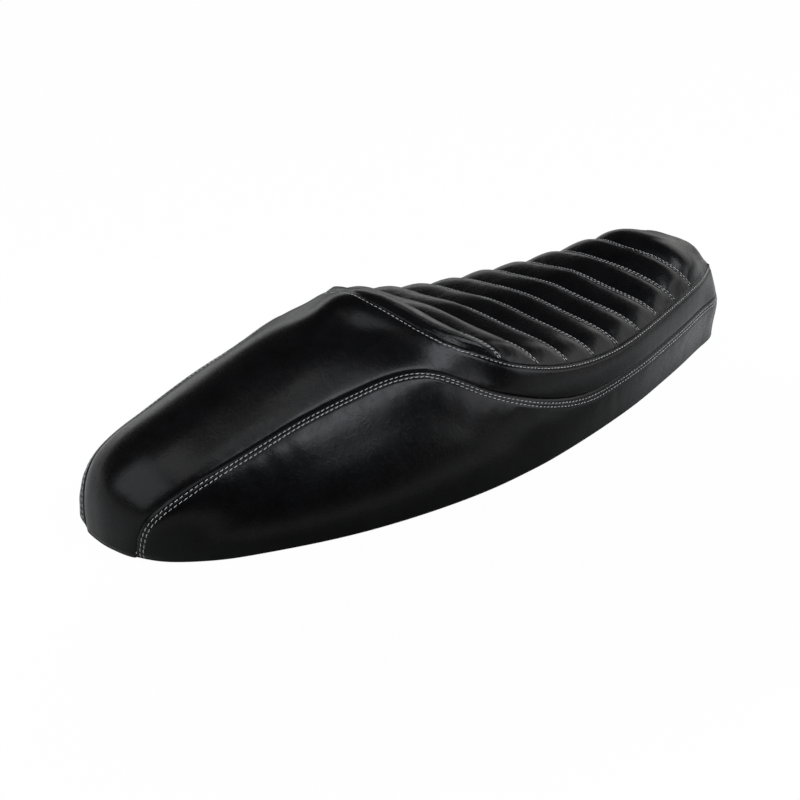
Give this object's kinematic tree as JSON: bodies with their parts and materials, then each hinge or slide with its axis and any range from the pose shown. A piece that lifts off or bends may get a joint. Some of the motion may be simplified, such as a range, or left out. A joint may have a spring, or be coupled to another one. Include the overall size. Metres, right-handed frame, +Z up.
{
  "type": "cafe racer seat",
  "caption": "Solo cafe racer seat with a bullet-shaped rear hump, a cross-stitched ribbed saddle insert and leather side skirts over a moulded pan with rubber buffers and a front hook.",
  "frame": {"origin": "centre of the bounding box's base, on the seat's middle plane at the height of the hem's underside", "axes": "+X forward to the seat's nose, +Y to the rider's left, +Z up"},
  "size_m": [0.7358, 0.28, 0.1451],
  "materials": {
    "cover_leather": "smooth black leather with a soft gloss",
    "foam": "open-cell seat foam",
    "pan_plastic": "moulded, fine texture",
    "plated_steel": "zinc plated",
    "rivet_alloy": "plain",
    "buffer_rubber": "moulded"
  },
  "bodies": {
    "root": {"rear_panel": "cover_leather", "ribbed_insert": "cover_leather", "left_skirt": "cover_leather", "right_skirt": "cover_leather", "seat_foam": "foam", "seat_pan": "pan_plastic", "front_hook": "plated_steel", "hook_rivets": "rivet_alloy", "rear_strap": "plated_steel", "strap_rivets": "rivet_alloy", "left_weld_bush": "plated_steel", "right_weld_bush": "plated_steel", "rear_left_buffer": "buffer_rubber", "rear_right_buffer": "buffer_rubber", "mid_left_buffer": "buffer_rubber", "mid_right_buffer": "buffer_rubber", "front_left_buffer": "buffer_rubber", "front_right_buffer": "buffer_rubber"}
  },
  "joints": []
}
